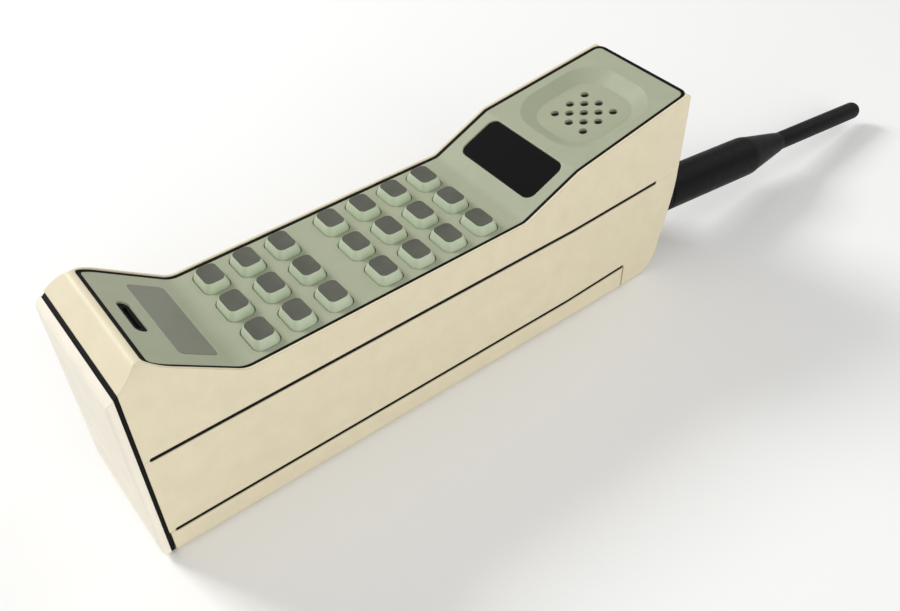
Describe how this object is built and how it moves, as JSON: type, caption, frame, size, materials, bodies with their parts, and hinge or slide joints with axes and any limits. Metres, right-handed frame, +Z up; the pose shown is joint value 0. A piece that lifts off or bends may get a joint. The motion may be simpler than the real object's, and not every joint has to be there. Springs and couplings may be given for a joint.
{
  "type": "early mobile brick telephone",
  "caption": "Hand-held early mobile telephone: deep sloped shell, keypad, dark display, dished earpiece, removable battery pack, screw-in antenna.",
  "frame": {"origin": "on the surface the phone lies on, under the middle of its overall length and width", "axes": "+Z up out of the keypad, +Y along the phone from the mouth end to the ear end and the antenna, +X across its width"},
  "size_m": [0.0446, 0.3205, 0.069],
  "materials": {
    "housing": "fine moulded texture",
    "end_cap": "fine moulded texture",
    "seal": "matt",
    "panel": "fine moulded texture",
    "nameplate": "satin",
    "window": "polished smoked",
    "display": "tinted red",
    "mesh": "woven",
    "metal": "satin",
    "board": "solder mask",
    "spring_steel": "plated",
    "brass": "turned",
    "can": "tinned",
    "heat_sink": "anodised",
    "chip": "moulded epoxy",
    "ribbon": "polyimide film",
    "coax": "jacket",
    "tub": "fine moulded texture",
    "cell": "shrink sleeve",
    "catch": "ribbed",
    "antenna_rubber": "matt",
    "key": "satin, light green flanks"
  },
  "bodies": {
    "phone": {"front_housing": "housing", "rear_housing": "housing", "housing_seal": "seal", "end_cap": "end_cap", "end_gasket": "seal", "front_panel": "panel", "panel_gasket": "seal", "nameplate": "nameplate", "display_window": "window", "display_module": "display", "earpiece_mesh": "mesh", "earpiece_gasket": "seal", "earpiece_speaker": "metal", "microphone_boot": "seal", "microphone": "metal", "keypad_board": "board", "snap_domes": "spring_steel", "screws": "spring_steel", "radio_board": "board", "shield_can": "can", "power_amplifier": "heat_sink", "duplexer": "can", "logic_board": "board", "logic_chips": "chip", "ringer": "brass", "ribbon_cable": "ribbon", "supply_contacts": "brass", "antenna_socket": "brass", "antenna_coax": "coax"},
    "battery_pack": {"battery_case": "housing", "battery_tub": "tub", "battery_cells": "cell", "battery_contacts": "brass", "catch_springs": "spring_steel"},
    "pack_catch": {"battery_catch": "catch"},
    "antenna_seat": {"antenna_washer": "seal"},
    "antenna": {"antenna_stud": "brass", "antenna_sleeve": "antenna_rubber", "antenna_whip": "antenna_rubber"},
    "key_r1_left_button": {"key_r1_left": "key"},
    "key_r1_middle_button": {"key_r1_middle": "key"},
    "key_r1_right_button": {"key_r1_right": "key"},
    "key_r2_left_button": {"key_r2_left": "key"},
    "key_r2_middle_button": {"key_r2_middle": "key"},
    "key_r2_right_button": {"key_r2_right": "key"},
    "key_r3_left_button": {"key_r3_left": "key"},
    "key_r3_middle_button": {"key_r3_middle": "key"},
    "key_r3_right_button": {"key_r3_right": "key"},
    "key_r4_left_button": {"key_r4_left": "key"},
    "key_r4_middle_button": {"key_r4_middle": "key"},
    "key_r4_right_button": {"key_r4_right": "key"},
    "key_r5_left_button": {"key_r5_left": "key"},
    "key_r5_middle_button": {"key_r5_middle": "key"},
    "key_r5_right_button": {"key_r5_right": "key"},
    "key_r6_left_button": {"key_r6_left": "key"},
    "key_r6_middle_button": {"key_r6_middle": "key"},
    "key_r6_right_button": {"key_r6_right": "key"},
    "key_r7_left_button": {"key_r7_left": "key"},
    "key_r7_middle_button": {"key_r7_middle": "key"},
    "key_r7_right_button": {"key_r7_right": "key"}
  },
  "joints": [
    {"name": "pack_removal", "type": "slide", "parent": "phone", "child": "battery_pack", "axis": [0, 0, -1], "range_m": [0, 0.035]},
    {"name": "catch_press", "type": "slide", "parent": "battery_pack", "child": "pack_catch", "axis": [0, -1, 0], "range_m": [0, 0.0016], "stiffness_N_per_m": 400, "springref_m": -0.001, "deforming": ["catch_springs"]},
    {"name": "antenna_advance", "type": "slide", "parent": "phone", "child": "antenna_seat", "axis": [0, 0.9932, -0.1163], "range_m": [0, 0.0061]},
    {"name": "antenna_turn", "type": "hinge", "parent": "antenna_seat", "child": "antenna", "pos_m": [0.009, 0.03195, 0.0212], "axis": [0, 0.9932, -0.1163], "range_deg": [0, 2160]},
    {"name": "key_r1_left_press", "type": "slide", "parent": "phone", "child": "key_r1_left_button", "axis": [0, 0, -1], "range_m": [0, 0.001], "stiffness_N_per_m": 600, "springref_m": -0.0005},
    {"name": "key_r1_middle_press", "type": "slide", "parent": "phone", "child": "key_r1_middle_button", "axis": [0, 0, -1], "range_m": [0, 0.001], "stiffness_N_per_m": 600, "springref_m": -0.0005},
    {"name": "key_r1_right_press", "type": "slide", "parent": "phone", "child": "key_r1_right_button", "axis": [0, 0, -1], "range_m": [0, 0.001], "stiffness_N_per_m": 600, "springref_m": -0.0005},
    {"name": "key_r2_left_press", "type": "slide", "parent": "phone", "child": "key_r2_left_button", "axis": [0, 0, -1], "range_m": [0, 0.001], "stiffness_N_per_m": 600, "springref_m": -0.0005},
    {"name": "key_r2_middle_press", "type": "slide", "parent": "phone", "child": "key_r2_middle_button", "axis": [0, 0, -1], "range_m": [0, 0.001], "stiffness_N_per_m": 600, "springref_m": -0.0005},
    {"name": "key_r2_right_press", "type": "slide", "parent": "phone", "child": "key_r2_right_button", "axis": [0, 0, -1], "range_m": [0, 0.001], "stiffness_N_per_m": 600, "springref_m": -0.0005},
    {"name": "key_r3_left_press", "type": "slide", "parent": "phone", "child": "key_r3_left_button", "axis": [0, 0, -1], "range_m": [0, 0.001], "stiffness_N_per_m": 600, "springref_m": -0.0005},
    {"name": "key_r3_middle_press", "type": "slide", "parent": "phone", "child": "key_r3_middle_button", "axis": [0, 0, -1], "range_m": [0, 0.001], "stiffness_N_per_m": 600, "springref_m": -0.0005},
    {"name": "key_r3_right_press", "type": "slide", "parent": "phone", "child": "key_r3_right_button", "axis": [0, 0, -1], "range_m": [0, 0.001], "stiffness_N_per_m": 600, "springref_m": -0.0005},
    {"name": "key_r4_left_press", "type": "slide", "parent": "phone", "child": "key_r4_left_button", "axis": [0, 0, -1], "range_m": [0, 0.001], "stiffness_N_per_m": 600, "springref_m": -0.0005},
    {"name": "key_r4_middle_press", "type": "slide", "parent": "phone", "child": "key_r4_middle_button", "axis": [0, 0, -1], "range_m": [0, 0.001], "stiffness_N_per_m": 600, "springref_m": -0.0005},
    {"name": "key_r4_right_press", "type": "slide", "parent": "phone", "child": "key_r4_right_button", "axis": [0, 0, -1], "range_m": [0, 0.001], "stiffness_N_per_m": 600, "springref_m": -0.0005},
    {"name": "key_r5_left_press", "type": "slide", "parent": "phone", "child": "key_r5_left_button", "axis": [0, 0, -1], "range_m": [0, 0.001], "stiffness_N_per_m": 600, "springref_m": -0.0005},
    {"name": "key_r5_middle_press", "type": "slide", "parent": "phone", "child": "key_r5_middle_button", "axis": [0, 0, -1], "range_m": [0, 0.001], "stiffness_N_per_m": 600, "springref_m": -0.0005},
    {"name": "key_r5_right_press", "type": "slide", "parent": "phone", "child": "key_r5_right_button", "axis": [0, 0, -1], "range_m": [0, 0.001], "stiffness_N_per_m": 600, "springref_m": -0.0005},
    {"name": "key_r6_left_press", "type": "slide", "parent": "phone", "child": "key_r6_left_button", "axis": [0, 0, -1], "range_m": [0, 0.001], "stiffness_N_per_m": 600, "springref_m": -0.0005},
    {"name": "key_r6_middle_press", "type": "slide", "parent": "phone", "child": "key_r6_middle_button", "axis": [0, 0, -1], "range_m": [0, 0.001], "stiffness_N_per_m": 600, "springref_m": -0.0005},
    {"name": "key_r6_right_press", "type": "slide", "parent": "phone", "child": "key_r6_right_button", "axis": [0, 0, -1], "range_m": [0, 0.001], "stiffness_N_per_m": 600, "springref_m": -0.0005},
    {"name": "key_r7_left_press", "type": "slide", "parent": "phone", "child": "key_r7_left_button", "axis": [0, 0, -1], "range_m": [0, 0.001], "stiffness_N_per_m": 600, "springref_m": -0.0005},
    {"name": "key_r7_middle_press", "type": "slide", "parent": "phone", "child": "key_r7_middle_button", "axis": [0, 0, -1], "range_m": [0, 0.001], "stiffness_N_per_m": 600, "springref_m": -0.0005},
    {"name": "key_r7_right_press", "type": "slide", "parent": "phone", "child": "key_r7_right_button", "axis": [0, 0, -1], "range_m": [0, 0.001], "stiffness_N_per_m": 600, "springref_m": -0.0005}
  ],
  "couplings": [
    {"joint": "antenna_advance", "follows": "antenna_turn", "m_per_rad": 0.00015915}
  ]
}
